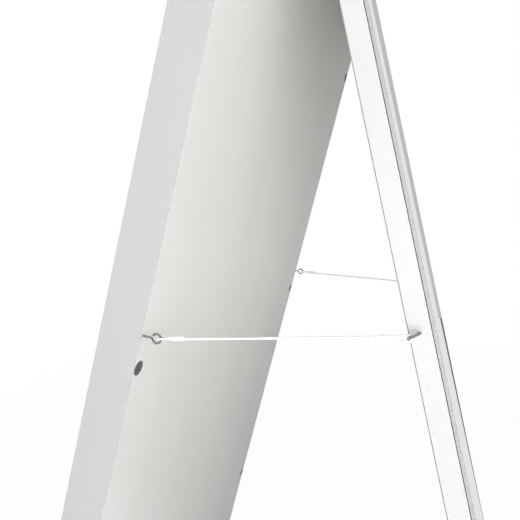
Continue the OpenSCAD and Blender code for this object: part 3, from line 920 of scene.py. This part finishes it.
def dress_cords():
    for side, word in SIDES.items():
        ends = loop_ends(side)
        start, end = (
            at + along * MID_SLEEVE + turned(across, along, TWIST[panel]) * STRAND_OFF
            for panel, (at, along, across) in ends.items()
        )
        route = [start.lerp(end, k / RUN_STEPS) for k in range(RUN_STEPS + 1)]
        cord = BRAID.on(path_curve(f"cord_{word}", route), Finish=YARN)
        cord.name = f"stay_cord_run_{word}"
        dress(cord, None, "white_cord", [f"stay_cord_{word}"])
        loops = []
        for panel, (at, along, across) in ends.items():
            loop = BRAID.on(
                path_curve(f"loop_{panel}_{word}", loop_route(at, along, across, TWIST[panel])),
                Finish=YARN,
            )
            loop.name = f"cord_loop_{panel}_{word}"
            dress(loop, None, "white_cord", [f"stay_cord_{word}"])
            loops.append(loop)
        sleeves = sleeves_piece(word, ends)
        dress(sleeves, None, "white_sleeve", [f"cord_sleeves_{word}"], SLEEVE)
        for piece in (cord, sleeves, *loops):
            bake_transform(piece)


dress_cords()


# Floor, sky, lamps and cards

WHITE = (1, 1, 1, 1)
WORLD_LIGHT = 0.05
SEEN_RAYS = ("Is Camera Ray", "Is Glossy Ray", "Is Transmission Ray")
FLOOR_HALF = 40
FLOOR_GREY = 0.86
FLOOR_WHITE = {"From Min": 0.3, "From Max": 3.0, "To Min": 0.96, "To Max": 1}


def seen_factor(tree, *rays):
    """A factor that is 1 for the named kinds of ray."""
    path = tree.nodes.new("ShaderNodeLightPath")
    factor = path.outputs[rays[0]]
    for ray in rays[1:]:
        join = tree.nodes.new("ShaderNodeMath")
        join.operation = "MAXIMUM"
        tree.links.new(factor, join.inputs[0])
        tree.links.new(path.outputs[ray], join.inputs[1])
        factor = join.outputs[0]
    return factor


def stage_world():
    """White where it is seen or mirrored, and a low even light on everything else."""
    world = bpy.data.worlds.new("studio")
    bpy.context.scene.world = world
    world.use_nodes = True
    tree = world.node_tree
    tree.nodes.clear()
    light = tree.nodes.new("ShaderNodeBackground")
    light.inputs["Strength"].default_value = WORLD_LIGHT
    backdrop = tree.nodes.new("ShaderNodeBackground")
    for background in (light, backdrop):
        background.inputs["Color"].default_value = WHITE
    mix = tree.nodes.new("ShaderNodeMixShader")
    rays = seen_factor(tree, *SEEN_RAYS)
    tree.links.new(rays, mix.inputs[0])
    tree.links.new(light.outputs[0], mix.inputs[1])
    tree.links.new(backdrop.outputs[0], mix.inputs[2])
    out = tree.nodes.new("ShaderNodeOutputWorld")
    tree.links.new(mix.outputs[0], out.inputs["Surface"])


def stage_floor():
    """A pale floor that reads white in the picture and still takes the soft shadow."""
    shape = bmesh.new()
    bmesh.ops.create_grid(shape, x_segments=1, y_segments=1, size=FLOOR_HALF)
    floor = mesh_piece("studio_floor", shape)
    f = Finish("studio_floor", Roughness=0.95)
    f.colour((*grey(FLOOR_GREY), 1))
    away = f.node("VectorMath", {0: f.place()}, operation="LENGTH").outputs["Value"]
    white = f.node("MapRange", {"Value": away}, interpolation_type="SMOOTHSTEP")
    for socket, value in FLOOR_WHITE.items():
        white.inputs[socket].default_value = value
    glow = f.node("Emission", {"Color": WHITE})
    rays = seen_factor(f.tree, *SEEN_RAYS)
    share = f.node("Math", {0: rays, 1: white.outputs["Result"]}, operation="MULTIPLY")
    mix = f.node("MixShader", {0: share.outputs[0], 1: f.surface.outputs[0], 2: glow.outputs[0]})
    f.join(mix.outputs[0], f.tree.nodes["Material Output"].inputs["Surface"])
    give(floor, f.material)


def card(name, corners, level):
    """A flat grey card off to the far side, that only polished surfaces can see."""
    mesh = bpy.data.meshes.new(name)
    mesh.from_pydata(corners, [], [tuple(range(len(corners)))])
    piece = link(name, mesh)
    f = Finish(name)
    glow = f.node("Emission", {"Color": (*grey(level), 1)})
    f.join(glow.outputs[0], f.tree.nodes["Material Output"].inputs["Surface"])
    give(piece, f.material)
    piece.visible_camera = False
    piece.visible_diffuse = False
    piece.visible_shadow = False


def lamp(name, place, aim, size, power):
    data = bpy.data.lights.new(name, "AREA")
    data.shape = "RECTANGLE"
    data.size, data.size_y = size
    data.energy = power
    lit = bpy.data.objects.new(name, data)
    lit.location = place
    lit.rotation_euler = (Vector(aim) - Vector(place)).to_track_quat("-Z", "Y").to_euler()
    lit.visible_camera = False
    lit.visible_glossy = False
    bpy.context.scene.collection.objects.link(lit)


stage_world()
stage_floor()

# Each lamp has its place, what it looks at, its size and its power

MIDDLE = (0, 0, 0.8)
lamp("side", (-1.6, -0.8, 1.2), MIDDLE, (1.2, 1.2), 12)
lamp("low", (-2.0, -0.4, 0.5), MIDDLE, (1.4, 0.8), 29)
lamp("far", (1.2, -0.15, 0.75), MIDDLE, (0.5, 0.5), 3.0)
lamp("front", (-0.9, -2.8, 2.2), MIDDLE, (1.6, 1.6), 14.8)
lamp("back", (0.5, 2.7, 1.6), (0, 0.2, 0.8), (1.8, 1.8), 62)


# The cards stand on the far side at WALL_X and lie just over the floor. Between them a
# lighter gap follows the line in which the camera looks along the mirror's face.

WALL_X = 3
WALL_Z = (-0.6, 3)
STRIP_Y = 0.094
STRIP_Z = 2.05
STRIP_SLOPE = 0.219
WALL_FRONT_Y = -6
WALL_BACK_Y = 4
GAP_FRONT = -0.04
GAP_BACK = 0.012
FLOOR_CARD_Z = 0.002
FLOOR_CARD_X = 0.15
FLOOR_BACK_Y = 2
FLOOR_GAP = 0.1
FLOOR_LINE_Y = (-0.294, -0.334)
GAP_LEVEL = 0.78


def beside_strip(z, shift):
    """Where the thin view along the mirror's face crosses the far wall at a height."""
    return STRIP_Y - STRIP_SLOPE * (STRIP_Z - z) + shift


def on_wall(z, shift):
    return (WALL_X, beside_strip(z, shift), z)


def stage_cards():
    low, high = WALL_Z
    card(
        "far_wall_front",
        [
            on_wall(low, GAP_FRONT),
            (WALL_X, WALL_FRONT_Y, low),
            (WALL_X, WALL_FRONT_Y, high),
            on_wall(high, GAP_FRONT),
        ],
        0.32,
    )
    card(
        "far_wall_back",
        [
            on_wall(low, GAP_BACK),
            on_wall(high, GAP_BACK),
            (WALL_X, WALL_BACK_Y, high),
            (WALL_X, WALL_BACK_Y, low),
        ],
        0.5,
    )
    card(
        "far_wall_gap",
        [
            on_wall(low, GAP_FRONT),
            on_wall(high, GAP_FRONT),
            on_wall(high, GAP_BACK),
            on_wall(low, GAP_BACK),
        ],
        GAP_LEVEL,
    )
    near, far = FLOOR_LINE_Y
    card(
        "far_floor_gap",
        [
            (FLOOR_CARD_X, near - FLOOR_GAP, FLOOR_CARD_Z),
            (WALL_X, far - FLOOR_GAP, FLOOR_CARD_Z),
            (WALL_X, far, FLOOR_CARD_Z),
            (FLOOR_CARD_X, near, FLOOR_CARD_Z),
        ],
        GAP_LEVEL,
    )
    card(
        "far_floor",
        [
            (FLOOR_CARD_X, near, FLOOR_CARD_Z),
            (WALL_X, far, FLOOR_CARD_Z),
            (WALL_X, FLOOR_BACK_Y, FLOOR_CARD_Z),
            (FLOOR_CARD_X, FLOOR_BACK_Y, FLOOR_CARD_Z),
        ],
        0.14,
    )


stage_cards()

bpy.context.scene.view_settings.view_transform = "Standard"
bpy.context.scene.cycles.caustics_reflective = False
